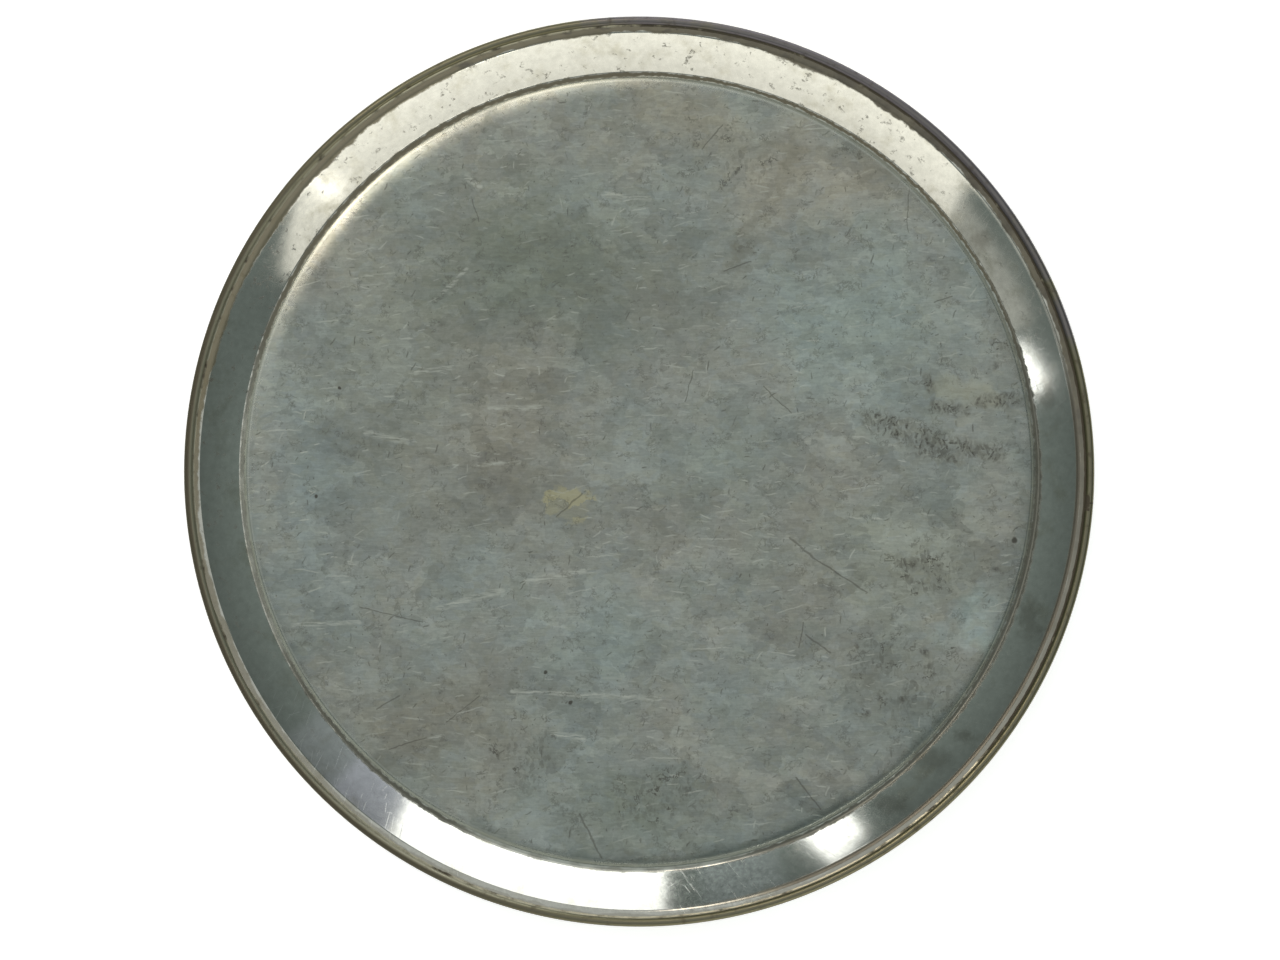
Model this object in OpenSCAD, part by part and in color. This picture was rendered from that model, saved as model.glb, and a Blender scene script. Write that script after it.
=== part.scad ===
// Paten plate: a shallow round dish of pressed sheet with a half-round wire soldered round its rim.
// Millimetres. The origin is the middle of the ring that the plate stands on, and +Z is up.

/* [Plate] */
// Diameter over the rim wire
plate_d = 160; // [100:1:260]
// Depth of the well, from the floor up to the ledge
well_depth = 4.45; // [3:0.05:15]
// Thickness of the sheet
sheet_t = 0.8; // [0.5:0.05:2]

/* [Floor edge] */
// Slope at which the floor falls away at its edge, in degrees
fall_angle = 15; // [5:0.5:20]
// Radius of the slow curve in which the edge of the floor falls away
fall_r = 13; // [5:0.5:16]
// Inside radius of the brink between the floor's edge and the groove, on the underside
brink_r = 0.6; // [0.2:0.1:1]

/* [Groove] */
// Slope of the inner side of the groove, in degrees
groove_angle = 40; // [30:1:60]
// Height of the straight part of that side
side_h = 0.11; // [0.05:0.01:2]
// Width of the flat bottom of the groove
groove_w = 0.4; // [0.2:0.1:3]
// Inside radius of the corners of the groove
groove_r = 0.5; // [0.2:0.1:0.8]

/* [Wall] */
// Slope of the wall above the horizontal, in degrees
wall_angle = 40; // [25:1:60]
// Inside radius of the shoulder between the wall and the ledge, on the underside
shoulder_r = 0.3; // [0.2:0.1:2]

/* [Rim] */
// Width of the ledge that shows between the wall and the wire
ledge_w = 0.75; // [0.6:0.05:4]
// Width of the rim wire across its flat side
wire_w = 1.5; // [1:0.1:4]
// Height of the rim wire above its flat side
wire_h = 0.72; // [0.4:0.02:1]
// Rounding of the lower edge of the sheet at the rim
edge_r = 0.25; // [0.05:0.05:0.4]

/* [Solder] */
// Width of the solder on the ledge
solder_w = 0.4; // [0.2:0.05:0.6]
// Height that the solder climbs up the wire
solder_h = 0.3; // [0.15:0.05:0.35]
// Length of each slit where the seam is open
slit_len = 5.4; // [2:0.1:8]
// Gap between the two ends of the wire
joint_gap = 0.3; // [0.1:0.05:1]
// Direction of the joint in the wire, in degrees from +X towards +Y
joint_azimuth = -4; // [-180:1:180]

/* [Hidden] */
$fn = 180;

// Steps in each curved stretch of the sheet's section
bend_steps = 8;
// Steps over the round side of the wire
wire_steps = 16;
// Directions of the middles of the slits in the seam, in degrees from +X towards +Y
slit_azimuths = [196, 207];

plate_r = plate_d / 2;
wire_in_r = plate_r - wire_w;
wire_mid_r = plate_r - wire_w / 2;
brink_top_r = brink_r + sheet_t;
shoulder_top_r = shoulder_r + sheet_t;

// The plate stands on the underside of the groove, and the floor lies above it by these heights
fall_h = fall_r * (1 - cos(fall_angle));
brink_h = brink_top_r * (cos(fall_angle) - cos(groove_angle));
corner_h = groove_r * (1 - cos(groove_angle));
floor_z = sheet_t + corner_h + side_h + brink_h + fall_h;
ledge_z = floor_z + well_depth;

// Radius of the round side of the wire, and the height of that circle's centre
wire_round_r = (wire_w * wire_w / 4 + wire_h * wire_h) / (2 * wire_h);
wire_centre_z = ledge_z + wire_h - wire_round_r;
wire_foot_angle = asin((ledge_z - wire_centre_z) / wire_round_r);
wire_step_angle = (180 - 2 * wire_foot_angle) / wire_steps;

// Centre of the shoulder's curve, below the inner edge of the ledge
shoulder_c = [plate_r - wire_w - ledge_w, ledge_z - shoulder_top_r];
wall_top = shoulder_c + shoulder_top_r * normal(wall_angle);

// The wall comes down to the outer corner of the groove
wall_foot_z = sheet_t + groove_r * (1 - cos(wall_angle));
wall_foot = [wall_top[0] - (wall_top[1] - wall_foot_z) / tan(wall_angle), wall_foot_z];
groove_out_c = wall_foot + groove_r * normal(wall_angle);
groove_in_c = groove_out_c - [groove_w, 0];

// From its inner corner the groove's side goes up to the brink and the falling edge of the floor
side_foot = groove_in_c - groove_r * normal(-groove_angle);
side_top = side_foot + side_h * [-1 / tan(groove_angle), 1];
brink_c = side_top - brink_top_r * normal(-groove_angle);
fall_c = brink_c + (brink_top_r - fall_r) * normal(-fall_angle);

// Upward normal of a face that slopes up and outwards at this angle
function normal(slope) = [-sin(slope), cos(slope)];

// Curve that turns upwards or downwards from one slope to another
function curve_up(c, r, from, to) =
    [for (i = [0 : bend_steps]) c - r * normal(from + (to - from) * i / bend_steps)];
function curve_down(c, r, from, to) =
    [for (i = [0 : bend_steps]) c + r * normal(from + (to - from) * i / bend_steps)];

// One face of the sheet from the axis out to the ledge, at a depth below the upper face
function sheet_face(depth) = concat(
    [[0, floor_z - depth]],
    curve_down(fall_c, fall_r - depth, 0, -fall_angle),
    curve_down(brink_c, brink_top_r - depth, -fall_angle, -groove_angle),
    curve_up(groove_in_c, groove_r + depth, -groove_angle, 0),
    curve_up(groove_out_c, groove_r + depth, 0, wall_angle),
    curve_down(shoulder_c, shoulder_top_r - depth, wall_angle, 0)
);

// Points in the opposite order
function backwards(points) = [for (i = [len(points) - 1 : -1 : 0]) points[i]];

module sheet_section() {
    polygon(concat(
        sheet_face(0),
        [[plate_r, ledge_z], [plate_r, ledge_z - sheet_t + edge_r]],
        [for (i = [1 : bend_steps - 1])
            [plate_r - edge_r, ledge_z - sheet_t + edge_r]
            + edge_r * [cos(90 * i / bend_steps), -sin(90 * i / bend_steps)]],
        [[plate_r - edge_r, ledge_z - sheet_t]],
        backwards(sheet_face(sheet_t))
    ));
}

// Half-round section with its flat side down on the ledge
module wire_section() {
    polygon([for (i = [0 : wire_steps])
        let (a = wire_foot_angle + wire_step_angle * i)
        [wire_mid_r, wire_centre_z] + wire_round_r * [cos(a), sin(a)]]);
}

// Fillet in the corner between the ledge and the inner side of the wire, ending on the wire's flats
module solder_section() {
    flat_r = wire_round_r * cos(wire_step_angle / 2);
    climb_dz = ledge_z + solder_h - wire_centre_z;
    climb_r = wire_mid_r - sqrt(flat_r * flat_r - climb_dz * climb_dz);
    difference() {
        polygon([[wire_in_r - solder_w, ledge_z], [wire_mid_r, ledge_z], [climb_r, ledge_z + solder_h]]);
        wire_section();
    }
}

// Turns a section round the axis over one stretch of the rim, from one direction to another
module turned(from, to) {
    rotate([0, 0, from]) rotate_extrude(angle = to - from) children();
}

// Half of an arc along the rim, as an angle
function half_angle(arc) = arc / 2 / (wire_mid_r * PI / 180);

module dish() {
    color("darkgray") rotate_extrude() sheet_section();
}

module rim_wire() {
    half_gap = half_angle(joint_gap);
    color("silver") turned(joint_azimuth + half_gap, joint_azimuth + 360 - half_gap) wire_section();
}

module seam_solder() {
    half_slit = half_angle(slit_len);
    slits = len(slit_azimuths);
    color("gray")
        for (i = [0 : slits - 1]) {
            next = i + 1 < slits ? slit_azimuths[i + 1] : slit_azimuths[0] + 360;
            turned(slit_azimuths[i] + half_slit, next - half_slit) solder_section();
        }
}

module joint_solder() {
    half_gap = half_angle(joint_gap);
    color("gray") turned(joint_azimuth - half_gap, joint_azimuth + half_gap) wire_section();
}

dish();
rim_wire();
seam_solder();
joint_solder();
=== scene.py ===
from math import asin, cos, hypot, pi, radians, sin, sqrt, tan

import bpy
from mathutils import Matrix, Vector, noise


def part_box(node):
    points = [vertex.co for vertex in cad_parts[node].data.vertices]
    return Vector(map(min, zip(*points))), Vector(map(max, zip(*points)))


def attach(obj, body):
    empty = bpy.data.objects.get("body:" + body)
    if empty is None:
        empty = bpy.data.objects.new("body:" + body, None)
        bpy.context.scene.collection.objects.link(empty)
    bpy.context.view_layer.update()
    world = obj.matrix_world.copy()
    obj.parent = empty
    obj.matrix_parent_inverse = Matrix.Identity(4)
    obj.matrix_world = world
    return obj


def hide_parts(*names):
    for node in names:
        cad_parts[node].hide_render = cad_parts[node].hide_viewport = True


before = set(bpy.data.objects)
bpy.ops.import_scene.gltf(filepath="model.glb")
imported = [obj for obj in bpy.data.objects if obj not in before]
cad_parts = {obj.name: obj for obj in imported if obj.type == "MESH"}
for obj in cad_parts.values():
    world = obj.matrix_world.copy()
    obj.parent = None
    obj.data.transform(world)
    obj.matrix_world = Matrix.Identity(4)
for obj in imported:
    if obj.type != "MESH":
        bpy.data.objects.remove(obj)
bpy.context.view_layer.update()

# The dish: one disc of brass sheet, pressed to shape and then silver-plated all over. The flat floor falls
# away at its edge into a narrow groove, whose underside the plate stands on, and from the groove a conical
# wall rises to a rounded shoulder and the flat ledge that carries the rim wire.
mm = 0.001
sheet_t = 0.8 * mm
well_depth = 4.45 * mm
fall_angle, fall_r = radians(15), 13 * mm
brink_top_r = 0.6 * mm + sheet_t
groove_angle, side_h = radians(40), 0.11 * mm
groove_w, groove_r = 0.4 * mm, 0.5 * mm
wall_angle = radians(40)
shoulder_top_r = 0.3 * mm + sheet_t
ledge_w, wire_w, wire_h = 0.75 * mm, 1.5 * mm, 0.72 * mm
edge_r = 0.25 * mm
plate_r = min(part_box("dish")[1].x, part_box("dish")[1].y)
segments = 480
floor_rings, fall_steps, brink_steps, corner_steps = 24, 12, 8, 6
wall_steps, shoulder_steps, ledge_steps, edge_steps = 14, 10, 4, 6


def up_normal(slope):
    """Upward normal, in the section, of a face that rises outwards at this slope."""
    return Vector((-sin(slope), cos(slope)))


def bend(centre, radius, start, end, steps):
    """Points of a bend from one slope to another. A radius below zero has its centre above the sheet."""
    return [centre + radius * up_normal(start + (end - start) * i / steps) for i in range(steps + 1)]


def smooth(value, low, high):
    """Rises smoothly from 0 at low to 1 at high."""
    t = min(max((value - low) / (high - low), 0.0), 1.0)
    return t * t * (3 - 2 * t)


fall_h = fall_r * (1 - cos(fall_angle))
brink_h = brink_top_r * (cos(fall_angle) - cos(groove_angle))
corner_h = groove_r * (1 - cos(groove_angle))
floor_z = sheet_t + corner_h + side_h + brink_h + fall_h
ledge_z = floor_z + well_depth
shoulder_c = Vector((plate_r - wire_w - ledge_w, ledge_z - shoulder_top_r))
wall_top = shoulder_c + shoulder_top_r * up_normal(wall_angle)
wall_foot_z = sheet_t + groove_r * (1 - cos(wall_angle))
wall_foot = Vector((wall_top.x - (wall_top.y - wall_foot_z) / tan(wall_angle), wall_foot_z))
groove_out_c = wall_foot + groove_r * up_normal(wall_angle)
groove_in_c = groove_out_c - Vector((groove_w, 0))
side_top = groove_in_c - groove_r * up_normal(-groove_angle) + side_h * Vector((-1 / tan(groove_angle), 1))
brink_c = side_top - brink_top_r * up_normal(-groove_angle)
fall_c = brink_c + (brink_top_r - fall_r) * up_normal(-fall_angle)
groove_mid_r = (groove_in_c.x + groove_out_c.x) / 2

# The pressed wall is a little hollow between its foot and its shoulder
wall_hollow = 0.05 * mm


def sheet_face(depth):
    """One face of the sheet from the axis out to the ledge, at a depth below the upper face."""
    down = Vector((0, -depth))
    points = [Vector((fall_c.x * i / floor_rings, floor_z)) + down for i in range(floor_rings)]
    points += bend(fall_c, fall_r - depth, 0, -fall_angle, fall_steps)
    points += bend(brink_c, brink_top_r - depth, -fall_angle, -groove_angle, brink_steps)[1:]
    points += bend(groove_in_c, -(groove_r + depth), -groove_angle, 0, corner_steps)
    groove_end = len(points)
    points += bend(groove_out_c, -(groove_r + depth), 0, wall_angle, corner_steps)
    foot = points[-1]
    head = shoulder_c + (shoulder_top_r - depth) * up_normal(wall_angle)
    for i in range(1, wall_steps):
        t = i / wall_steps
        points.append(foot.lerp(head, t) - 4 * t * (1 - t) * wall_hollow * up_normal(wall_angle))
    points += bend(shoulder_c, shoulder_top_r - depth, wall_angle, 0, shoulder_steps)
    return points, groove_end


upper, floor_end = sheet_face(0)
lower, _ = sheet_face(sheet_t)
rim = []
for i in range(1, ledge_steps + 1):
    rim.append(Vector((shoulder_c.x + (plate_r - shoulder_c.x) * i / ledge_steps, ledge_z)))
edge_c = Vector((plate_r - edge_r, ledge_z - sheet_t + edge_r))
for i in range(edge_steps + 1):
    a = radians(90 * i / edge_steps)
    rim.append(edge_c + edge_r * Vector((cos(a), -sin(a))))
dish_section = upper + rim + lower[::-1]
rim_end = len(upper) + ledge_steps + 1

# A hand-worked sheet is never quite true: the floor and the wall wander by some hundredths of a millimetre.
# The wander dies out towards the floor's edge and at the foot and the top of the wall.
floor_wander, floor_wave, floor_true_r = 0.05 * mm, 30 * mm, 58 * mm
wall_wander, wall_wave, wall_true = 0.03 * mm, 16 * mm, 1.5 * mm


def wander(x, y):
    """How far the sheet lies above or below its true form at this place."""
    r = hypot(x, y)
    on_floor = 1 - smooth(r, floor_true_r, fall_c.x)
    on_wall = smooth(r, wall_foot.x, wall_foot.x + wall_true) - smooth(r, wall_top.x - wall_true, wall_top.x)
    rise = floor_wander * on_floor * noise.noise(Vector((x / floor_wave, y / floor_wave, 0.3)))
    return rise + wall_wander * on_wall * noise.noise(Vector((x / wall_wave, y / wall_wave, 7.1)))


def finished_mesh(name, points, faces, materials, face_slots=None):
    """A mesh object with smooth faces and crisp corners, and with its materials."""
    mesh = bpy.data.meshes.new(name)
    mesh.from_pydata(points, [], faces)
    for material in materials:
        mesh.materials.append(material)
    for i, polygon in enumerate(mesh.polygons):
        polygon.use_smooth = True
        polygon.material_index = face_slots[i] if face_slots else 0
    mesh.set_sharp_from_angle(angle=radians(40))
    mesh.validate()
    piece = bpy.data.objects.new(name, mesh)
    bpy.context.scene.collection.objects.link(piece)
    return piece


dish_points, dish_faces, dish_slots = [], [], []
last = len(dish_section) - 1
for i, p in enumerate(dish_section):
    for k in range(1 if i in (0, last) else segments):
        a = 2 * pi * k / segments
        x, y = p.x * cos(a), p.x * sin(a)
        dish_points.append((x, y, p.y + wander(x, y)))
for i in range(last):
    start = 1 + (i - 1) * segments
    # Materials: the floor, then the wall and the ledge, then the underside
    slot = 0 if i < floor_end else 1 if i < rim_end else 2
    for k in range(segments):
        n = (k + 1) % segments
        if i == 0:
            dish_faces.append((0, 1 + k, 1 + n))
        elif i == last - 1:
            dish_faces.append((start + n, start + k, len(dish_points) - 1))
        else:
            dish_faces.append((start + k, start + segments + k, start + segments + n, start + n))
        dish_slots.append(slot)


def linear(hex_colour):
    """Linear colour, with alpha, of an sRGB hex value."""
    channels = [int(hex_colour[i:i + 2], 16) / 255 for i in (1, 3, 5)]
    return [c / 12.92 if c <= 0.04045 else ((c + 0.055) / 1.055) ** 2.4 for c in channels] + [1.0]


def add(tree, kind, inputs, **settings):
    """Adds a shader node with its settings, and sets or links its inputs. Gives its outputs.
    The kind of a maths node is followed by its operation. Inputs go by name or number, and a mix has its two
    numbers at 2 and 3 or its two colours at 6 and 7."""
    kind, *operation = kind.split()
    node = tree.nodes.new("ShaderNode" + kind)
    if operation:
        node.operation = operation[0]
    for name, value in settings.items():
        setattr(node, name, value)
    for name, value in inputs.items():
        if isinstance(value, bpy.types.NodeSocket):
            tree.links.new(value, node.inputs[name])
        else:
            node.inputs[name].default_value = value
    return node.outputs


def new_material(name):
    """An empty material, with its node tree and the place on the object in millimetres."""
    material = bpy.data.materials.new(name)
    material.use_nodes = True
    tree = material.node_tree
    tree.nodes.clear()
    place = add(tree, "TexCoord", {})["Object"]
    place = add(tree, "VectorMath SCALE", {0: place, "Scale": 1 / mm})[0]
    return material, tree, place


def radius_of(tree, place):
    """Distance from the plate's axis, in millimetres."""
    flat = add(tree, "VectorMath MULTIPLY", {0: place, 1: (1, 1, 0)})[0]
    return add(tree, "VectorMath LENGTH", {0: flat})["Value"]


def facing(tree, place, azimuth):
    """How far a place lies towards an azimuth, up to 1 at the rim. Azimuth runs from +X to +Y, in degrees."""
    a = radians(azimuth)
    return add(tree, "VectorMath DOT_PRODUCT",
               {0: place, 1: (cos(a) * mm / plate_r, sin(a) * mm / plate_r, 0)})["Value"]


# Settings of a range that rises or falls smoothly and stays level beyond its ends
soft = {"interpolation_type": "SMOOTHSTEP", "clamp": False}


def clouds_of(tree, place, size, detail, roughness, low, high, settings=soft, least=0.0, most=1.0):
    """Clouds of about this size in millimetres, that go from least to most as their noise goes from low to high."""
    clouds = add(tree, "TexNoise", {"Vector": place, "Scale": 1 / size, "Detail": detail, "Roughness": roughness})[0]
    return add(tree, "MapRange",
               {"Value": clouds, "From Min": low, "From Max": high, "To Min": least, "To Max": most}, **settings)[0]


def drift_of(tree, place, size, detail, roughness):
    """A random push, up to 0.5 each way, that changes over about this many millimetres."""
    drift = add(tree, "TexNoise",
                {"Vector": place, "Scale": 1 / size, "Detail": detail, "Roughness": roughness})["Color"]
    return add(tree, "VectorMath SUBTRACT", {0: drift, 1: (0.5, 0.5, 0.5)})[0]


def scratches(tree, place, cell, reach, width, lean, spread, share, shift):
    """Fine straight scratches, at most one in each cell of a random pattern. Cell, reach and width are millimetres,
    lean and spread give the direction in radians, share is how many cells have one, and shift picks the pattern."""
    scaled = add(tree, "VectorMath MULTIPLY_ADD",
                 {0: place, 1: (1 / cell, 1 / cell, 0), 2: (shift, 1.7 * shift, 0)})[0]
    cells = add(tree, "TexVoronoi", {"Vector": scaled, "Scale": 1.0}, voronoi_dimensions="2D", feature="F1")
    offset = add(tree, "VectorMath SUBTRACT", {0: scaled, 1: cells["Position"]})[0]
    chance = add(tree, "SeparateColor", {0: cells["Color"]})
    turn = add(tree, "MapRange",
               {"Value": chance[0], "To Min": -lean - spread, "To Max": -lean + spread}, clamp=False)[0]
    offset = add(tree, "VectorRotate", {"Vector": offset, "Angle": turn}, rotation_type="Z_AXIS")[0]
    size = add(tree, "MapRange",
               {"Value": chance[1], "To Min": 0.35 * reach / cell, "To Max": reach / cell}, clamp=False)[0]
    offset = add(tree, "VectorMath ABSOLUTE", {0: offset})[0]
    sides = add(tree, "SeparateXYZ", {0: offset})
    along = add(tree, "Math DIVIDE", {0: sides[0], 1: size})[0]
    along = add(tree, "MapRange",
                {"Value": along, "From Min": 0.4, "From Max": 1.0, "To Min": 1.0, "To Max": 0.0}, **soft)[0]
    across = add(tree, "MapRange",
                 {"Value": sides[1], "From Min": 0.3 * width / cell, "From Max": width / cell, "To Min": 1.0,
                  "To Max": 0.0}, **soft)[0]
    depth = add(tree, "MapRange", {"Value": chance[2], "From Min": 1 - share, "From Max": 1.0}, **soft)[0]
    mask = add(tree, "Math MULTIPLY", {0: along, 1: across})[0]
    return add(tree, "Math MULTIPLY", {0: mask, 1: depth})[0]


def soft_patch(tree, place, centre, half_size, core=0.2):
    """A patch that is whole at its core and fades to its edge. Sizes are in millimetres."""
    offset = add(tree, "VectorMath SUBTRACT", {0: place, 1: (centre[0], centre[1], 0)})[0]
    offset = add(tree, "VectorMath MULTIPLY", {0: offset, 1: (1 / half_size[0], 1 / half_size[1], 0)})[0]
    away = add(tree, "VectorMath LENGTH", {0: offset})["Value"]
    return add(tree, "MapRange",
               {"Value": away, "From Min": core, "From Max": 1.0, "To Min": 1.0, "To Max": 0.0}, **soft)[0]


def stroke(tree, place, start, end, width):
    """One scratch from start to end, in millimetres."""
    run = Vector((end[0] - start[0], end[1] - start[1], 0))
    offset = add(tree, "VectorMath SUBTRACT", {0: place, 1: (start[0], start[1], 0)})[0]
    offset = add(tree, "VectorMath MULTIPLY", {0: offset, 1: (1, 1, 0)})[0]
    share = add(tree, "VectorMath DOT_PRODUCT", {0: offset, 1: run / run.length_squared})["Value"]
    share = add(tree, "Math MAXIMUM", {0: share, 1: 0.0})[0]
    share = add(tree, "Math MINIMUM", {0: share, 1: 1.0})[0]
    on_line = add(tree, "VectorMath SCALE", {0: run, "Scale": share})[0]
    away = add(tree, "VectorMath DISTANCE", {0: offset, 1: on_line})["Value"]
    return add(tree, "MapRange",
               {"Value": away, "From Min": 0.3 * width, "From Max": width, "To Min": 1.0, "To Max": 0.0}, **soft)[0]


def total(tree, masks):
    """The strongest of the masks at each place. Each is taken in before the next is made, which costs least."""
    result = None
    for mask in masks:
        if result is None:
            result = mask
        else:
            result = add(tree, "Math MAXIMUM", {0: result, 1: mask})[0]
    return result


def marked(tree, mark, place, rows):
    """Many marks of one kind, each with its row of values."""
    return total(tree, (mark(tree, place, *row) for row in rows))


def smudges(tree, place, length, height, shift):
    """A random tone from 0 to 1 for each of many ragged smudges of about this size, in millimetres."""
    scaled = add(tree, "VectorMath MULTIPLY_ADD",
                 {0: place, 1: (1 / length, 1 / height, 0), 2: (shift, 1.7 * shift, 0)})[0]
    cells = add(tree, "TexVoronoi", {"Vector": scaled, "Scale": 1.0}, voronoi_dimensions="2D", feature="F1")
    return add(tree, "SeparateColor", {0: cells["Color"]})[0]


def squiggles(tree, place, size, width, share, shift):
    """Short crooked marks: bits of the lines along which a noise has its middle value. Sizes in millimetres."""
    moved = add(tree, "VectorMath ADD", {0: place, 1: (shift, 1.7 * shift, 0)})[0]
    crooked = add(tree, "TexNoise", {"Vector": moved, "Scale": 1 / size, "Detail": 3.0, "Roughness": 0.65})[0]
    crooked = add(tree, "Math SUBTRACT", {0: crooked, 1: 0.5})[0]
    crooked = add(tree, "Math ABSOLUTE", {0: crooked})[0]
    line = add(tree, "MapRange",
               {"Value": crooked, "From Min": 0.1 * width / size, "From Max": 0.4 * width / size, "To Min": 1.0,
                "To Max": 0.0}, **soft)[0]
    bits = add(tree, "TexNoise", {"Vector": moved, "Scale": 0.7 / size, "Detail": 2.0})[0]
    bits = add(tree, "MapRange",
               {"Value": bits, "From Min": 0.62 - 0.3 * share, "From Max": 0.7 - 0.3 * share}, **soft)[0]
    return add(tree, "Math MULTIPLY", {0: line, 1: bits})[0]


def groove_dirt(tree, place, radius):
    """Old dirt and polish packed in the groove: how much of it lies there, and its colour."""
    ragged = clouds_of(tree, place, 1.3, 4.0, 0.6, 0.3, 0.7, {}, -0.2, 0.2)
    off = add(tree, "Math SUBTRACT", {0: radius, 1: (groove_mid_r + 0.07 * mm) / mm})[0]
    off = add(tree, "Math ADD", {0: off, 1: ragged})[0]
    sides = add(tree, "SeparateXYZ", {0: place})
    # It is pushed outwards by up to 0.2 mm at the front right, packed thin at the back right and thick at the right
    pushed = add(tree, "VectorMath DOT_PRODUCT", {0: place, 1: (0.0017, -0.0018, 0)})["Value"]
    off = add(tree, "Math SUBTRACT", {0: off, 1: pushed})[0]
    off = add(tree, "Math ABSOLUTE", {0: off})[0]
    for azimuth, low, high, factor in ((50, 0.55, 0.8, 1.5), (-12, 0.7, 0.85, 0.72)):
        thinner = add(tree, "MapRange",
                      {"Value": facing(tree, place, azimuth), "From Min": low, "From Max": high, "To Min": 1.0,
                       "To Max": factor})[0]
        off = add(tree, "Math MULTIPLY", {0: off, 1: thinner})[0]
    line = add(tree, "MapRange",
               {"Value": off, "From Min": 0.25, "From Max": 0.65, "To Min": 1.0, "To Max": 0.0}, **soft)[0]
    # Cloths have rubbed it out in part at the left and the front
    left = soft_patch(tree, place, (-72, -10), (24, 36), 0.5)
    left = add(tree, "Math MULTIPLY", {0: left, 1: 0.55})[0]
    rubbed = total(tree, [left, soft_patch(tree, place, (-7, -70), (32, 20), 0.5)])
    broken = clouds_of(tree, place, 5, 3.0, 0.5, 0.42, 0.58, soft, 0.05, 0.4)
    amount = add(tree, "Mix", {0: rubbed, 2: 0.85, 3: broken}, data_type="FLOAT")[0]
    line = add(tree, "Math MULTIPLY", {0: line, 1: amount})[0]
    back = add(tree, "MapRange", {"Value": sides[1], "From Min": 15.0, "From Max": 45.0})[0]
    return line, add(tree, "Mix", {0: back, 6: linear("#47483E"), 7: linear("#5C553F")}, data_type="RGBA")[2]


def metal_surface(tree, colour, metal, rough, height, strength, depth):
    """Ends a material: a relief of this depth and the shader, with its colour, metalness and roughness."""
    relief = add(tree, "Bump", {"Height": height, "Strength": strength, "Distance": depth})[0]
    surface = add(tree, "BsdfPrincipled",
                  {"Base Color": colour, "Metallic": metal, "Roughness": rough, "Normal": relief})[0]
    add(tree, "OutputMaterial", {"Surface": surface})


# Worn silver plate on the floor: years of wiping and laying things down have dulled it to a cloudy blue-green
# and warm grey, with fine pale hairlines, darker cuts, and dark pits where the plate has gone through.
floor_plate, tree, place = new_material("Worn silver plate, dulled floor")
blue_grey, warm_grey, green_grey = linear("#919A98"), linear("#979993"), linear("#868F8B")
pale_metal, dark_cut = linear("#C4C8BF"), linear("#3A3932")
straw_stain, brown_stain = linear("#B4AF8A"), linear("#79776A")
radius = radius_of(tree, place)

# All patterns are bent, so that no edge in them is straight: scratches least, smudges more and wide stains most
drift = drift_of(tree, place, 2.6, 4.0, 0.6)
bent, frayed, torn = (add(tree, "VectorMath MULTIPLY_ADD", {0: drift, 1: (*push, 0), 2: place})[0]
                      for push in ((1.1, 0.8), (2.4, 2.0), (7.0, 4.5)))
swirl = drift_of(tree, place, 16, 3.0, 0.6)
swirled = add(tree, "VectorMath MULTIPLY_ADD", {0: swirl, 1: (36, 30, 0), 2: torn})[0]

clouds = clouds_of(tree, torn, 22, 5.0, 0.6, 0.3, 0.7)
colour = add(tree, "Mix", {0: clouds, 6: blue_grey, 7: warm_grey}, data_type="RGBA")[2]
blotches = add(tree, "TexNoise", {"Vector": torn, "Scale": 1 / 8, "Detail": 6.0, "Roughness": 0.62})[0]
greens = add(tree, "MapRange", {"Value": blotches, "From Min": 0.46, "From Max": 0.7, "To Max": 0.5}, **soft)[0]
colour = add(tree, "Mix", {0: greens, 6: colour, 7: green_grey}, data_type="RGBA")[2]

# Wide stains where the tarnish is darker, bluer or browner: their middles and half-sizes in millimetres. The two dark
# patches at (53, -45) and (28, -62) are not tarnish but painted shade on the falling edge at the front right.
stains_and_painted_shade = [
    ((-19, 37), (38, 28), "#80887F"), ((38, 26), (28, 22), "#9BA8A5"), ((-56, -1), (16, 26), "#8A9697"),
    ((-24, 5), (24, 30), "#93938B"), ((-43, 20), (24, 34), "#8B918B"), ((-38, -47), (26, 15), "#8B8B82"),
    ((-7, -31), (18, 13), "#99A5A3"), ((0, -60), (24, 11), "#828C86"), ((44, -13), (24, 15), "#9CA29A"),
    ((61, -24), (9, 8), "#9CAAA9"), ((33, 54), (27, 14), "#A3A298"), ((15, 2), (18, 13), "#939C97"),
    ((53, -45), (18, 14), "#7F8886"), ((28, -62), (20, 9), "#7F8886"), ((8, 61), (26, 10), "#9F9F94"),
]
for middle, half_size, patch_colour in stains_and_painted_shade:
    reach = soft_patch(tree, swirled, middle, half_size, 0.0)
    reach = add(tree, "Math MULTIPLY", {0: reach, 1: 0.85})[0]
    colour = add(tree, "Mix", {0: reach, 6: colour, 7: linear(patch_colour)}, data_type="RGBA")[2]

# Wiping left smudges of 1 to 13 mm, fine streaks about 0.35 mm wide and 3 mm long, and a grain of 0.6 mm
streaked = add(tree, "VectorMath MULTIPLY", {0: bent, 1: (1 / 3, 1 / 0.35, 0)})[0]
streaks = add(tree, "TexNoise", {"Vector": streaked, "Scale": 1.0, "Detail": 3.0, "Roughness": 0.6})[0]
grain = add(tree, "TexNoise", {"Vector": place, "Scale": 1 / 0.6, "Detail": 3.0, "Roughness": 0.7})[0]
shards = smudges(tree, torn, 2.8, 2.0, 9.2)


def varied(tree, tone, pattern, low, high, swing):
    """The tone, taken down or up by this share as a pattern goes from low to high."""
    part = add(tree, "MapRange",
               {"Value": pattern, "From Min": low, "From Max": high, "To Min": 1 - swing,
                "To Max": 1 + swing}, clamp=False)[0]
    return add(tree, "Math MULTIPLY", {0: tone, 1: part})[0]


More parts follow.
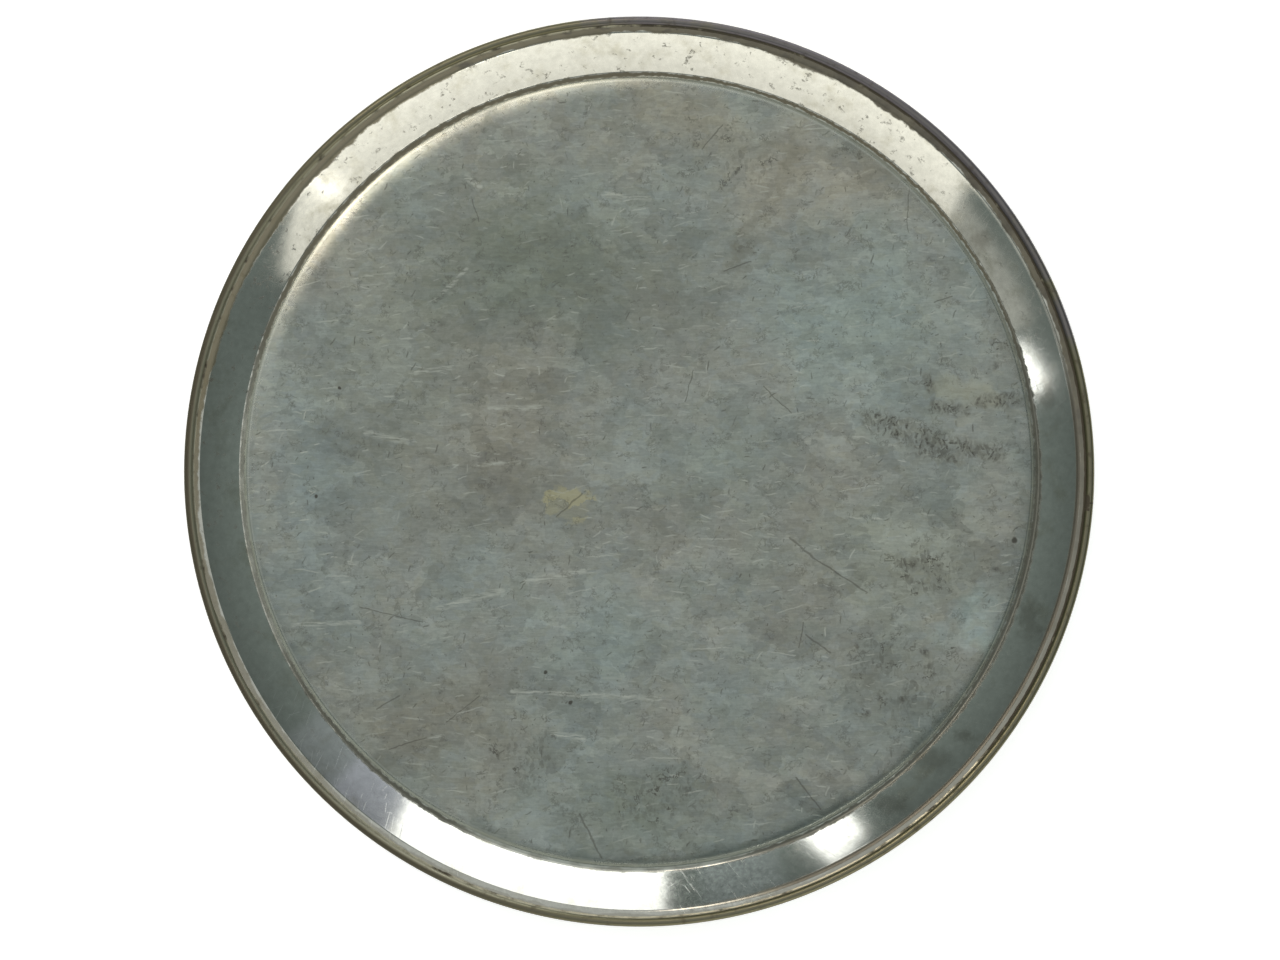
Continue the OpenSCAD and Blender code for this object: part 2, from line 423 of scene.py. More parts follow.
tone = varied(tree, 1.0, shards, 0.0, 1.0, 0.07)
tone = varied(tree, tone, streaks, 0.2, 0.8, 0.11)
tone = varied(tree, tone, grain, 0.2, 0.8, 0.1)
for cloth, length, height, shift, swing in ((torn, 13.0, 10.0, 5.1, 0.08), (torn, 6.5, 5.0, 3.7, 0.1),
                                            (bent, 1.2, 0.7, 15.9, 0.07)):
    tone = varied(tree, tone, smudges(tree, cloth, length, height, shift), 0.0, 1.0, swing)
colour = add(tree, "VectorMath SCALE", {0: colour, "Scale": tone})[0]
tarnish = smudges(tree, bent, 1.7, 1.2, 41.7)
tarnish = add(tree, "MapRange", {"Value": tarnish, "To Max": 0.6})[0]
colour = add(tree, "Mix", {0: tarnish, 6: colour, 7: linear("#FFFBF0")}, data_type="RGBA", blend_type="MULTIPLY")[2]

# A straw-coloured worn spot left of the middle, a fainter one at the right and a brown streak towards the back
straw = soft_patch(tree, torn, (-12.8, -5.9), (5.8, 5.2), 0.5)
straw = add(tree, "Math ADD", {0: straw, 1: shards})[0]
straw = add(tree, "MapRange", {"Value": straw, "From Min": 1.0, "From Max": 1.5, "To Max": 0.6})[0]
colour = add(tree, "Mix", {0: straw, 6: colour, 7: straw_stain}, data_type="RGBA")[2]
olive = stroke(tree, torn, (54.0, 15.0), (61.5, 13.4), 3.0)
olive = add(tree, "Math MULTIPLY", {0: olive, 1: 0.18})[0]
colour = add(tree, "Mix", {0: olive, 6: colour, 7: straw_stain}, data_type="RGBA")[2]
brown = stroke(tree, torn, (27.5, 57.0), (17.0, 36.0), 2.6)
worn_streak = add(tree, "MapRange", {"Value": blotches, "From Min": 0.4, "From Max": 0.65, "To Max": 0.6})[0]
brown = add(tree, "Math MULTIPLY", {0: brown, 1: worn_streak})[0]
colour = add(tree, "Mix", {0: brown, 6: colour, 7: brown_stain}, data_type="RGBA")[2]

# Hairlines run mostly across. Real ones are a few hundredths of a millimetre wide, and these are drawn coarser so
# that they show. The widest scuffs are given from start to end, in millimetres from the middle, with their width.
hairlines = marked(tree, scratches, bent, (
    (2.4, 1.1, 0.14, 0.0, 0.3, 0.35, 3.1), (3.6, 1.7, 0.17, -0.06, 0.35, 0.4, 11.7),
    (6.5, 3.0, 0.19, 0.05, 0.3, 0.4, 23.9), (4.2, 1.4, 0.17, 0.7, 1.0, 0.3, 37.3),
    (9.5, 4.7, 0.16, 0.1, 0.25, 0.6, 71.3)))
busy = clouds_of(tree, place, 26, 2.0, 0.5, 0.35, 0.65, {}, 0.15, 0.6)
hairlines = add(tree, "Math MULTIPLY", {0: hairlines, 1: busy})[0]
pale_scuffs = [
    ((-34.9, 31.7), (-30.4, 35.8), 0.5), ((-39.5, 17.5), (-33.6, 18.4), 0.6), ((-30.6, 52.1), (-28.3, 50.5), 0.8),
    ((-48.3, 6.9), (-41.2, 5.3), 0.8), ((-26.5, 11.3), (-17.6, 11.3), 0.7), ((-28.3, 1.3), (-21.2, 1.6), 0.6),
    ((-19.9, -19.3), (-10.0, -17.8), 0.8), ((-35.4, -24.2), (-24.2, -21.0), 0.8),
    ((-61.5, -27.2), (-49.6, -26.7), 0.6), ((-22.4, -38.8), (3.7, -40.2), 0.6),
    ((-15.3, -46.2), (-10.0, -47.3), 0.9), ((-6.4, 49.1), (1.9, 48.2), 0.6),
]
scuffs = marked(tree, stroke, bent, pale_scuffs)
worn_through = add(tree, "MapRange", {"Value": streaks, "From Min": 0.38, "From Max": 0.65, "To Max": 0.6})[0]
scuffs = add(tree, "Math MULTIPLY", {0: scuffs, 1: worn_through})[0]
hairlines = total(tree, [hairlines, scuffs])
colour = add(tree, "Mix", {0: hairlines, 6: colour, 7: pale_metal}, data_type="RGBA")[2]

# The longest cuts, given in the same way, and short nicks all over, drawn coarser than real like the hairlines
long_cuts = [
    ((26.8, -11.8), (30.7, -15.2), 0.26), ((30.7, -15.2), (40.3, -21.4), 0.2),
    ((29.4, -29.0), (33.9, -32.0), 0.22), ((29.0, -26.7), (28.3, -31.1), 0.16),
    ((22.0, 15.0), (26.8, 10.4), 0.16), ((9.6, 18.0), (8.1, 12.5), 0.14),
    ((27.7, -54.2), (32.1, -59.8), 0.2), ((-10.5, -60.6), (-6.7, -68.4), 0.24),
    ((-44.3, -49.1), (-37.7, -47.1), 0.16), ((-49.3, -24.0), (-38.4, -26.7), 0.14),
    ((-34.2, -44.4), (-28.3, -39.7), 0.14), ((-46.6, -42.0), (-42.5, -39.7), 0.18),
    ((47.7, 51.3), (47.5, 42.4), 0.12), ((52.2, 29.9), (55.5, 31.1), 0.16),
    ((-14.7, -8.0), (-10.0, -3.8), 0.2), ((-29.7, 48.2), (-28.3, 44.2), 0.14),
    ((11.1, 57.1), (14.7, 61.3), 0.16), ((15.2, 35.5), (19.7, 37.3), 0.16),
]
cuts = marked(tree, stroke, bent, long_cuts)
cuts = add(tree, "Math MULTIPLY", {0: cuts, 1: 0.5})[0]
nicks = marked(tree, scratches, bent, (
    (2.8, 0.7, 0.14, 0.9, 1.0, 0.3, 51.1), (4.8, 1.2, 0.16, 0.8, 0.9, 0.45, 67.7),
    (1.7, 0.26, 0.14, 1.2, 1.5, 0.4, 83.3)))
nicks = add(tree, "Math MULTIPLY", {0: nicks, 1: 0.55})[0]

# Flecks of corrosion, crowded in the places where the plate wore through first
bands = marked(tree, stroke, bent, (
    ((41.5, 9.2), (49.5, 6.2), 3.0), ((50.5, 4.8), (56.5, 3.6), 3.5), ((57.5, 4.4), (63.0, 3.2), 2.4),
    ((51.0, 16.6), (51.8, 14.6), 1.2), ((52.8, 11.8), (57.5, 10.8), 1.9), ((60.5, 12.4), (66.5, 12.8), 1.8)))
patches = []
for middle, half_size, crowding in (
        ((50.0, -17.5), (9, 6), 1.0), ((47.0, -36.0), (17, 12), 0.8), ((-20.3, -50.3), (10, 10), 0.6),
        ((17.0, 55.0), (13, 9), 0.45), ((64.5, 28.0), (5, 14), 0.7), ((42.0, 57.0), (10, 7), 0.4),
        ((5.0, -58.0), (17, 8), 0.6)):
    patch = soft_patch(tree, torn, middle, half_size, 0.3)
    patches.append(add(tree, "Math MULTIPLY", {0: patch, 1: crowding})[0])
crowds = total(tree, [bands, *patches])
clumps = clouds_of(tree, bent, 3.5, 3.0, 0.5, 0.35, 0.6, soft, 0.2)
browned = add(tree, "Math MULTIPLY", {0: crowds, 1: 0.23})[0]
colour = add(tree, "Mix", {0: browned, 6: colour, 7: brown_stain}, data_type="RGBA")[2]
crowds = add(tree, "Math MULTIPLY", {0: crowds, 1: clumps})[0]
flecks = []
for size, share, shift in ((0.9, 0.45, 21.3), (0.45, 0.45, 33.1)):
    chance = smudges(tree, bent, 0.65 * size, 1.2 * size, shift)
    level = add(tree, "MapRange", {"Value": crowds, "To Min": 0.985, "To Max": 1.0 - share})[0]
    fleck = add(tree, "Math SUBTRACT", {0: chance, 1: level})[0]
    flecks.append(add(tree, "MapRange", {"Value": fleck, "From Max": 0.45, "To Max": 0.6})[0])
# In the bands it has eaten in along short crossing scratches. Crooked threads run all over, darker in the crowded
# places, and a few blots lie at the right.
hatching = marked(tree, scratches, frayed, (
    (1.9, 1.5, 0.3, 1.25, 0.5, 0.95, 91.3), (2.4, 1.9, 0.34, 1.75, 0.6, 0.9, 17.9),
    (1.4, 1.1, 0.26, 1.0, 0.9, 0.9, 5.3), (2.0, 1.6, 0.3, 1.5, 0.7, 0.9, 43.7)))
eaten = add(tree, "MapRange", {"Value": grain, "From Min": 0.36, "From Max": 0.58, "To Min": 0.3, "To Max": 0.9})[0]
eaten = add(tree, "Math MULTIPLY", {0: eaten, 1: bands})[0]
flecks.append(add(tree, "Math MULTIPLY", {0: hatching, 1: eaten})[0])
threads = squiggles(tree, bent, 1.8, 0.2, 0.25, 13.0)
level = add(tree, "MapRange", {"Value": crowds, "From Max": 0.6, "To Min": 0.3, "To Max": 0.8})[0]
flecks.append(add(tree, "Math MULTIPLY", {0: threads, 1: level})[0])
blots = marked(tree, soft_patch, frayed, (
    ((48.5, -16.6), (1.0, 1.5)), ((52.8, -16.8), (1.2, 1.2)), ((63.2, -17.3), (1.1, 0.8)),
    ((50.6, -32.0), (1.0, 1.2)), ((38.5, -31.0), (0.9, 0.9)), ((46.7, -40.4), (1.1, 0.9)),
    ((40.3, -42.7), (0.9, 1.1)), ((63.4, 18.8), (0.8, 1.2))))
eaten = add(tree, "MapRange", {"Value": grain, "From Min": 0.3, "From Max": 0.56, "To Max": 0.7})[0]
flecks.append(add(tree, "Math MULTIPLY", {0: blots, 1: eaten})[0])
corroded = total(tree, flecks)
dots = total(tree, (soft_patch(tree, bent, at, (size, size), 0.5) for at, size in (
    ((66.5, -12.1), 0.8), ((-53.0, 14.9), 0.4), ((-57.2, -4.3), 0.45), ((-16.5, -35.5), 0.45),
    ((-12.2, -40.9), 0.5))))
dots = add(tree, "Math MULTIPLY", {0: dots, 1: 0.9})[0]
marks = total(tree, [cuts, nicks, corroded, dots])
colour = add(tree, "Mix", {0: marks, 6: colour, 7: dark_cut}, data_type="RGBA")[2]

# Less rubs on the falling edge, so it keeps more of the plate's polish. The brink at its end is painted pale as a
# painted highlight for the light it would mirror, and this is weaker at the right.
kept = add(tree, "MapRange",
           {"Value": radius, "From Min": fall_c.x / mm, "From Max": brink_c.x / mm, "To Max": 0.4}, **soft)[0]
# Painted highlight on the brink, faded out towards the right
painted_brink_highlight = add(tree, "MapRange",
            {"Value": radius, "From Min": brink_c.x / mm, "From Max": (brink_c.x + 0.6 * mm) / mm,
             "To Max": 0.65}, **soft)[0]
weaker_at_right = add(tree, "MapRange",
           {"Value": facing(tree, place, -5), "From Min": 0.65, "From Max": 0.85, "To Min": 1.0, "To Max": 0.2})[0]
painted_brink_highlight = add(tree, "Math MULTIPLY", {0: painted_brink_highlight, 1: weaker_at_right})[0]
colour = add(tree, "Mix", {0: painted_brink_highlight, 6: colour, 7: pale_metal}, data_type="RGBA")[2]
dirt, dirt_colour = groove_dirt(tree, place, radius)
colour = add(tree, "Mix", {0: dirt, 6: colour, 7: dirt_colour}, data_type="RGBA")[2]

rough = add(tree, "MapRange",
            {"Value": blotches, "From Min": 0.3, "From Max": 0.7, "To Min": 0.29, "To Max": 0.35})[0]
rough = add(tree, "Mix", {0: kept, 2: rough, 3: 0.2}, data_type="FLOAT")[0]
rough = add(tree, "Mix", {0: dirt, 2: rough, 3: 0.75}, data_type="FLOAT")[0]
bare = total(tree, [marks, dirt])
metal = add(tree, "MapRange", {"Value": bare, "To Min": 1.0, "To Max": 0.3})[0]
height = add(tree, "Math ADD", {0: grain, 1: streaks})[0]
metal_surface(tree, colour, metal, rough, height, 0.25, 0.02 * mm)

# Polished silver plate on the wall and the ledge: still bright enough to mirror the room, with faint stains, pits
# and slanting polishing scratches. Brown dirt lies in patches along the wire.
wall_plate, tree, place = new_material("Polished silver plate, stained wall")
clean_plate, olive_stain, scratch_glint = linear("#D2D2CA"), linear("#A5A18C"), linear("#F4F4EE")
pit_brown, ledge_olive, ledge_brown_and_shade = linear("#49453A"), linear("#736C56"), linear("#464034")
radius = radius_of(tree, place)
sides = add(tree, "SeparateXYZ", {0: place})
around = add(tree, "Math ARCTAN2", {0: sides[0], 1: sides[1]})[0]
around = add(tree, "Math MULTIPLY", {0: around, 1: wall_top.x / mm})[0]
unrolled = add(tree, "CombineXYZ", {0: around, 1: radius})[0]

blotches = add(tree, "TexNoise", {"Vector": place, "Scale": 1 / 6, "Detail": 5.0, "Roughness": 0.62})[0]
stains = add(tree, "MapRange", {"Value": blotches, "From Min": 0.5, "From Max": 0.75, "To Max": 0.5}, **soft)[0]
colour = add(tree, "Mix", {0: stains, 6: clean_plate, 7: olive_stain}, data_type="RGBA")[2]
smeared = drift_of(tree, place, 1.6, 4.0, 0.65)
smeared = add(tree, "VectorMath MULTIPLY_ADD", {0: smeared, 1: (5.0, 2.2, 0), 2: place})[0]
smears = marked(tree, soft_patch, smeared, (
    ((51.5, -50.8), (5.0, 3.0)), ((57.4, -46.6), (2.6, 1.6)), ((44.5, -58.8), (5.0, 2.6)),
    ((69.0, -26.0), (2.6, 6.0)), ((72.0, 14.0), (2.0, 5.0)), ((60.5, 41.0), (3.0, 2.4))))
smears = add(tree, "Math MULTIPLY", {0: smears, 1: 0.4})[0]
colour = add(tree, "Mix", {0: smears, 6: colour, 7: linear("#7A7364")}, data_type="RGBA")[2]

# The wall's colour is scaled by clouds and by a gradient: lighter at its foot and darker at its top at the front, and
# darker at its foot and lighter at its top at the back
wall_tone_scale = clouds_of(tree, place, 1.4, 5.0, 0.65, 0.25, 0.75, {"clamp": False}, 0.86, 1.1)
back = add(tree, "MapRange", {"Value": sides[1], "From Min": 5.0, "From Max": 40.0})[0]
at_foot = add(tree, "Mix", {0: back, 2: 1.25, 3: 0.84}, data_type="FLOAT")[0]
at_top = add(tree, "Mix", {0: back, 2: 0.84, 3: 1.1}, data_type="FLOAT")[0]
higher = add(tree, "MapRange",
             {"Value": radius, "From Min": wall_foot.x / mm, "From Max": wall_top.x / mm, "To Min": at_foot,
              "To Max": at_top})[0]
wall_tone_scale = add(tree, "Math MULTIPLY", {0: wall_tone_scale, 1: higher})[0]
colour = add(tree, "VectorMath SCALE", {0: colour, "Scale": wall_tone_scale})[0]

# Polishing scratches slant across the wall and are thickest at the front left, and they are drawn coarser than real
# so that they show. Their pale colour is a painted glint for the light the scratches scatter. A short stretch at the
# front is mottled as well.
rubbed = marked(tree, scratches, unrolled, (
    (3.2, 2.2, 0.09, -1.1, 0.2, 0.9, 5.3), (2.1, 1.5, 0.08, -1.05, 0.25, 0.9, 17.9),
    (4.2, 3.0, 0.09, -1.15, 0.2, 0.9, 53.9), (3.0, 1.5, 0.07, 0.9, 0.6, 0.6, 31.3)))
right_front = soft_patch(tree, place, (14, -73), (14, 9), 0.5)
front = total(tree, [soft_patch(tree, place, (-48, -58), (34, 34), 0.4), right_front])
mottles = clouds_of(tree, place, 0.8, 3.0, 0.65, 0.3, 0.7, {}, -0.2, 0.26)
mottles = add(tree, "Math MULTIPLY_ADD", {0: mottles, 1: right_front, 2: 1.0})[0]
colour = add(tree, "VectorMath SCALE", {0: colour, "Scale": mottles})[0]
thick = add(tree, "MapRange", {"Value": front, "To Min": 0.1, "To Max": 0.36})[0]
rubbed = add(tree, "Math MULTIPLY", {0: rubbed, 1: thick})[0]
# The pale scratch colour is a painted glint
colour = add(tree, "Mix", {0: rubbed, 6: colour, 7: scratch_glint}, data_type="RGBA")[2]

# Pits and short crooked marks, more of them at the back and crowded at one place at the back left
specks = add(tree, "TexNoise", {"Vector": place, "Scale": 1 / 0.9, "Detail": 5.0, "Roughness": 0.65})[0]
towards = facing(tree, place, 120)
back = add(tree, "MapRange",
           {"Value": towards, "From Min": -0.2, "From Max": 0.8, "To Min": -0.86, "To Max": -0.75})[0]
cluster = soft_patch(tree, place, (-36, 63), (13, 9))
back = add(tree, "Math MULTIPLY_ADD", {0: cluster, 1: 0.1, 2: back})[0]
pits = add(tree, "Math ADD", {0: specks, 1: back})[0]
pits = add(tree, "MapRange", {"Value": pits, "From Min": 0.0, "From Max": 0.08, "To Max": 0.4}, **soft)[0]
marks = squiggles(tree, place, 1.3, 0.25, 0.1, 27.0)
faint = add(tree, "MapRange", {"Value": towards, "From Min": -0.5, "From Max": 0.7, "To Max": 0.5})[0]
marks = add(tree, "Math MULTIPLY", {0: marks, 1: faint})[0]
broken = add(tree, "MapRange", {"Value": specks, "From Min": 0.4, "From Max": 0.56, "To Max": 1.4})[0]
marks = add(tree, "Math MULTIPLY", {0: marks, 1: broken})[0]
pits = total(tree, [pits, marks])
colour = add(tree, "Mix", {0: pits, 6: colour, 7: pit_brown}, data_type="RGBA")[2]

# Dirt on the ledge, in ragged patches at the back that reach down over the shoulder, and blots where dirt has run
# down the wall at the back. The dark line along the shoulder at the front right is painted shade, mixed in with the
# dirt colours
ragged = clouds_of(tree, place, 4, 5.0, 0.6, 0.3, 0.7, {}, 0.36, -0.36)
amount = add(tree, "MapRange",
             {"Value": facing(tree, place, 95), "From Min": -0.95, "From Max": 0.2, "To Min": 0.3, "To Max": 0.9})[0]
spread = add(tree, "MapRange",
             {"Value": facing(tree, place, 70), "From Min": -0.45, "From Max": -0.1, "To Min": 0.0, "To Max": 0.6})[0]
for middle, half_size, thicker in (((36, 68), (26, 16), 0.35), ((-54, 54), (34, 34), 0.45),
                                   ((-66, -40), (28, 36), 0.4), ((48, -62), (36, 26), 0.35)):
    patch = soft_patch(tree, place, middle, half_size, 0.4)
    spread = add(tree, "Math MULTIPLY_ADD", {0: patch, 1: thicker, 2: spread})[0]
shelf = add(tree, "Math ADD", {0: radius, 1: ragged})[0]
shelf = add(tree, "Math ADD", {0: shelf, 1: spread})[0]
shelf = add(tree, "MapRange",
            {"Value": shelf, "From Min": (shoulder_c.x - 0.1 * mm) / mm,
             "From Max": (shoulder_c.x + 0.25 * mm) / mm}, **soft)[0]
shelf = add(tree, "Math MULTIPLY", {0: shelf, 1: amount})[0]
browner = add(tree, "MapRange", {"Value": facing(tree, place, 30), "From Min": 0.2, "From Max": 0.8})[0]
# A painted shade line along the shoulder at the front right
shadowed = add(tree, "Math SUBTRACT", {0: radius, 1: (wall_top.x + 0.15 * mm) / mm})[0]
shadowed = add(tree, "Math ABSOLUTE", {0: shadowed})[0]
shadowed = add(tree, "MapRange",
               {"Value": shadowed, "From Min": 0.25, "From Max": 0.5, "To Min": 1.0, "To Max": 0.0}, **soft)[0]
shade_side = add(tree, "MapRange",
                {"Value": facing(tree, place, -30), "From Min": 0.55, "From Max": 0.75, "To Max": 0.85})[0]
shadowed = add(tree, "Math MULTIPLY", {0: shadowed, 1: shade_side})[0]
shelf = add(tree, "Math MAXIMUM", {0: shelf, 1: shadowed})[0]
blots = marked(tree, soft_patch, smeared, (
    ((-6.0, 78.2), (2.6, 0.8)), ((6.6, 78.0), (1.4, 0.7)), ((-12.6, 77.2), (1.4, 0.8)), ((4.4, 77.4), (1.6, 0.7)),
    ((16.3, 76.2), (3.4, 1.0)), ((26.0, 73.0), (2.6, 1.2)), ((-30.5, 71.4), (2.2, 1.0))))
blots = add(tree, "Math MULTIPLY", {0: blots, 1: 0.85})[0]
shelf = add(tree, "Math MAXIMUM", {0: shelf, 1: blots})[0]
patchy = add(tree, "MapRange", {"Value": blotches, "From Min": 0.36, "From Max": 0.62, "To Min": 0.35})[0]
browner = add(tree, "Math MULTIPLY", {0: browner, 1: patchy})[0]
browner = total(tree, [browner, shadowed, blots])
ledge_dirt_and_shade = add(tree, "Mix", {0: browner, 6: ledge_olive, 7: ledge_brown_and_shade}, data_type="RGBA")[2]
colour = add(tree, "Mix", {0: shelf, 6: colour, 7: ledge_dirt_and_shade}, data_type="RGBA")[2]
dirt, dirt_colour = groove_dirt(tree, place, radius)
colour = add(tree, "Mix", {0: dirt, 6: colour, 7: dirt_colour}, data_type="RGBA")[2]

bare = total(tree, [shelf, dirt, pits])
metal = add(tree, "MapRange", {"Value": bare, "To Min": 1.0, "To Max": 0.6})[0]
rough = add(tree, "MapRange", {"Value": stains, "To Min": 0.1, "To Max": 0.22})[0]
rough = add(tree, "Mix", {0: rubbed, 2: rough, 3: 0.55}, data_type="FLOAT")[0]
rough = add(tree, "Mix", {0: bare, 2: rough, 3: 0.4}, data_type="FLOAT")[0]
height = add(tree, "Math SUBTRACT", {0: blotches, 1: pits})[0]
height = add(tree, "Math SUBTRACT", {0: height, 1: rubbed})[0]
metal_surface(tree, colour, metal, rough, height, 0.15, 0.02 * mm)

# Plain silver plate underneath: satin from the pressing and tarnished in clouds, with pale scratches from being
# slid about, which are drawn coarser than real so that they show.
under_plate, tree, place = new_material("Silver plate, tarnished underside")
clouds = clouds_of(tree, place, 20, 6.0, 0.6, 0.35, 0.68)
colour = add(tree, "Mix", {0: clouds, 6: linear("#A3A59D"), 7: linear("#8B8672")}, data_type="RGBA")[2]
rubbed = marked(tree, scratches, place, (
    (6.0, 2.8, 0.1, 0.4, 1.4, 0.5, 9.1), (9.0, 4.0, 0.12, 1.2, 1.4, 0.4, 29.7)))
colour = add(tree, "Mix", {0: rubbed, 6: colour, 7: pale_metal}, data_type="RGBA")[2]
rough = add(tree, "MapRange", {"Value": clouds, "To Min": 0.3, "To Max": 0.46})[0]
metal_surface(tree, colour, 1.0, rough, rubbed, 0.2, 0.02 * mm)

dish = finished_mesh("pressed_dish", dish_points, dish_faces, [floor_plate, wall_plate, under_plate], dish_slots)
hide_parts("dish")
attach(dish, "root")

# The rim wire: half-round brass wire bent into a ring, soldered flat side down on the ledge and plated with
# the dish. Its two ends meet at one joint, and handling has knocked it slightly flat here and there.
wire_mid_r = plate_r - wire_w / 2
wire_round_r = (wire_w ** 2 / 4 + wire_h ** 2) / (2 * wire_h)
wire_centre_z = ledge_z + wire_h - wire_round_r
wire_foot = asin((ledge_z - wire_centre_z) / wire_round_r)
joint_azimuth = radians(-4)
joint_half = 0.15 * mm / wire_mid_r
wire_sides, wire_turns = 20, 720
long_flat, short_flat = 0.05 * mm, 0.02 * mm


def swept_ring(sections):
    """Points and faces of a closed section carried round the axis. Each section is an azimuth and its points."""
    points, faces = [], []
    count = len(sections[0][1])
    for azimuth, section in sections:
        points += [(p.x * cos(azimuth), p.x * sin(azimuth), p.y) for p in section]
    for i in range(len(sections) - 1):
        for k in range(count):
            a, b = i * count + k, i * count + (k + 1) % count
            faces.append((a, b, b + count, a + count))
    faces.append(tuple(range(count - 1, -1, -1)))
    faces.append(tuple(range(len(points) - count, len(points))))
    return points, faces


def wire_section(azimuth):
    """Half-round section of the wire, worn a little flat where it has been knocked."""
    at = Vector((cos(azimuth), sin(azimuth), 0))
    flat = long_flat * max(0.0, noise.noise(7 * at)) + short_flat * max(0.0, noise.noise(40 * at))
    points = []
    for i in range(wire_sides + 1):
        a = wire_foot + (pi - 2 * wire_foot) * i / wire_sides
        p = Vector((wire_mid_r + wire_round_r * cos(a), wire_centre_z + wire_round_r * sin(a)))
        points.append(Vector((p.x, min(p.y, ledge_z + wire_h - flat))))
    return points


sweep = 2 * pi - 2 * joint_half
sections = []
for i in range(wire_turns + 1):
    azimuth = joint_azimuth + joint_half + sweep * i / wire_turns
    sections.append((azimuth, wire_section(azimuth)))

# Tarnished silver plate on wire: dark purplish grey at the back right and olive elsewhere, spotted with dirt. The
# crest is painted a little brighter as a painted highlight. At the left the inner side is painted pale as a painted
# highlight, and the outer side is painted dark as painted shade, mixed with the dirt spots.
wire_plate, tree, place = new_material("Tarnished silver plate on wire")
purple_grey, olive_grey = linear("#6E6A6E"), linear("#706D55")
wire_dirt_and_shade, crest_highlight_colour, lit_side_colour = linear("#40392C"), linear("#84827A"), linear("#C4C0AA")
radius = radius_of(tree, place)
clouds = add(tree, "TexNoise", {"Vector": place, "Scale": 1 / 9, "Detail": 5.0, "Roughness": 0.6})[0]
olive = add(tree, "MapRange",
            {"Value": facing(tree, place, 56), "From Min": 0.98, "From Max": 0.6, "To Min": -0.25, "To Max": 0.25})[0]
olive = add(tree, "Math ADD", {0: olive, 1: clouds})[0]
olive = add(tree, "MapRange", {"Value": olive, "From Min": 0.35, "From Max": 0.65}, **soft)[0]
colour = add(tree, "Mix", {0: olive, 6: purple_grey, 7: olive_grey}, data_type="RGBA")[2]
# Painted highlight along the crest
crest_highlight = add(tree, "Math SUBTRACT", {0: radius, 1: wire_mid_r / mm})[0]
crest_highlight = add(tree, "Math ABSOLUTE", {0: crest_highlight})[0]
crest_highlight = add(tree, "MapRange",
            {"Value": crest_highlight, "From Min": 0.1, "From Max": 0.5, "To Min": 0.3, "To Max": 0.0}, **soft)[0]
colour = add(tree, "Mix", {0: crest_highlight, 6: colour, 7: crest_highlight_colour}, data_type="RGBA")[2]
# At the left: painted highlight on the inner side, painted shade on the outer side
left = add(tree, "MapRange", {"Value": facing(tree, place, 195), "From Min": 0.2, "From Max": 0.8}, **soft)[0]
shaded_outer = add(tree, "MapRange",
            {"Value": radius, "From Min": (wire_mid_r - 0.6 * mm) / mm,
             "From Max": (wire_mid_r + 0.1 * mm) / mm}, **soft)[0]
inner = add(tree, "Math SUBTRACT", {0: left, 1: shaded_outer})[0]
inner = add(tree, "MapRange", {"Value": inner, "To Max": 0.85})[0]
colour = add(tree, "Mix", {0: inner, 6: colour, 7: lit_side_colour}, data_type="RGBA")[2]
shaded_outer = add(tree, "Math MULTIPLY", {0: shaded_outer, 1: left})[0]
shaded_outer = add(tree, "Math MULTIPLY", {0: shaded_outer, 1: 0.75})[0]
dirt_spots_and_shade = clouds_of(tree, place, 2.2, 4.0, 0.6, 0.52, 0.75, soft, 0.0, 0.7)
dirt_spots_and_shade = add(tree, "Math MAXIMUM", {0: dirt_spots_and_shade, 1: shaded_outer})[0]
colour = add(tree, "Mix", {0: dirt_spots_and_shade, 6: colour, 7: wire_dirt_and_shade}, data_type="RGBA")[2]
metal = add(tree, "MapRange", {"Value": dirt_spots_and_shade, "To Min": 0.95, "To Max": 0.4})[0]
rough = add(tree, "MapRange", {"Value": clouds, "To Min": 0.26, "To Max": 0.42})[0]
rough = add(tree, "Mix", {0: dirt_spots_and_shade, 2: rough, 3: 0.65}, data_type="FLOAT")[0]
metal_surface(tree, colour, metal, rough, dirt_spots_and_shade, 0.3, -0.02 * mm)

rim_wire = finished_mesh("half_round_rim", *swept_ring(sections), [wire_plate])
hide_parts("rim_wire")
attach(rim_wire, "root")

# The seam solder: soft solder run into the corner between the ledge and the wire with an iron. It is lumpy,
# and it never took at two places, which are left as dark slits.
solder_w, solder_h = 0.4 * mm, 0.3 * mm
slit_half = 2.7 * mm / wire_mid_r
slit_azimuths = [radians(196), radians(207)]
solder_step = 0.7 * mm / wire_mid_r
wire_in_r = plate_r - wire_w


def solder_section(azimuth, taper):
    """Section of the solder fillet, fuller or leaner along the seam and thin at an open end."""
    at = Vector((cos(azimuth), sin(azimuth), 0))
    lumps = 0.75 + 0.18 * noise.noise(30 * at) + 0.22 * noise.noise(110 * at)
    fullness = min(max(lumps, 0.4), 1.0) * (0.25 + 0.75 * taper)
    reach, climb = solder_w * fullness, solder_h * fullness
    climb_dz = ledge_z + climb - wire_centre_z
    climb_r = wire_mid_r - sqrt(wire_round_r ** 2 - climb_dz ** 2)
    toe, head = Vector((wire_in_r - reach, ledge_z)), Vector((climb_r, ledge_z + climb))
    corner = Vector((wire_in_r, ledge_z))
    skin = [toe.lerp(head, t) + sin(pi * t) * 0.25 * (corner - toe.lerp(head, 0.5)) for t in (0.25, 0.5, 0.75)]
    under = Vector((wire_mid_r - wire_w / 4, ledge_z))
    return [head, *skin[::-1], toe, under]


solder_points, solder_faces = [], []
stretches = [(slit_azimuths[0] + slit_half, slit_azimuths[1] - slit_half),
             (slit_azimuths[1] + slit_half, slit_azimuths[0] - slit_half + 2 * pi)]
for start, end in stretches:
    steps = max(4, round((end - start) / solder_step))
    run = []
    for i in range(steps + 1):
        azimuth = start + (end - start) * i / steps
        taper = smooth(min(azimuth - start, end - azimuth), 0, 3 * solder_step)
        run.append((azimuth, solder_section(azimuth, taper)))
    points, faces = swept_ring(run)
    solder_faces += [tuple(k + len(solder_points) for k in face) for face in faces]
    solder_points += points

